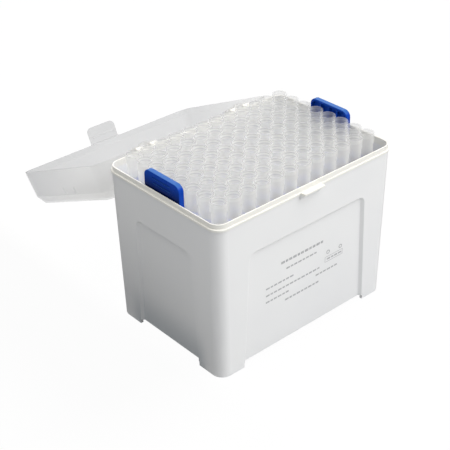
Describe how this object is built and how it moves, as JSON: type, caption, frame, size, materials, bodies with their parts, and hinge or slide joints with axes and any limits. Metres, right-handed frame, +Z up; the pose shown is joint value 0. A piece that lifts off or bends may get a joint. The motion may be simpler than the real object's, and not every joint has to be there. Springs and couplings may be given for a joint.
{
  "type": "pipette tip box",
  "caption": "Box of pipette tips with a hinged translucent lid swung open, a lift-out blue rack with a handle at each end, and open tips standing in a close grid.",
  "frame": {"origin": "on the ground under the middle of the box", "axes": "+X along the long side, +Y from the catch at the front to the hinge at the back, +Z up"},
  "size_m": [0.1194, 0.1785, 0.0975],
  "materials": {
    "box_plastic": "off-white moulded polypropylene, fine satin",
    "rack_plastic": "dark blue moulded polypropylene",
    "lid_plastic": "translucent, faintly grey",
    "tip_plastic": "translucent natural polypropylene"
  },
  "bodies": {
    "box": {"base_box": "box_plastic", "tip_rack": "rack_plastic", "tips_column_01": "tip_plastic", "tips_column_02": "tip_plastic", "tips_column_03": "tip_plastic", "tips_column_04": "tip_plastic", "tips_column_05": "tip_plastic", "tips_column_06": "tip_plastic", "tips_column_07": "tip_plastic", "tips_column_08": "tip_plastic", "tips_column_09": "tip_plastic", "tips_column_10": "tip_plastic", "tips_column_11": "tip_plastic", "tips_column_12": "tip_plastic"},
    "lid": {"lid": "lid_plastic"}
  },
  "joints": [
    {"name": "lid_hinge", "type": "hinge", "parent": "box", "child": "lid", "pos_m": [0, 0.0465, 0.0865], "axis": [1, 0, 0], "range_deg": [0, 204.9]}
  ]
}
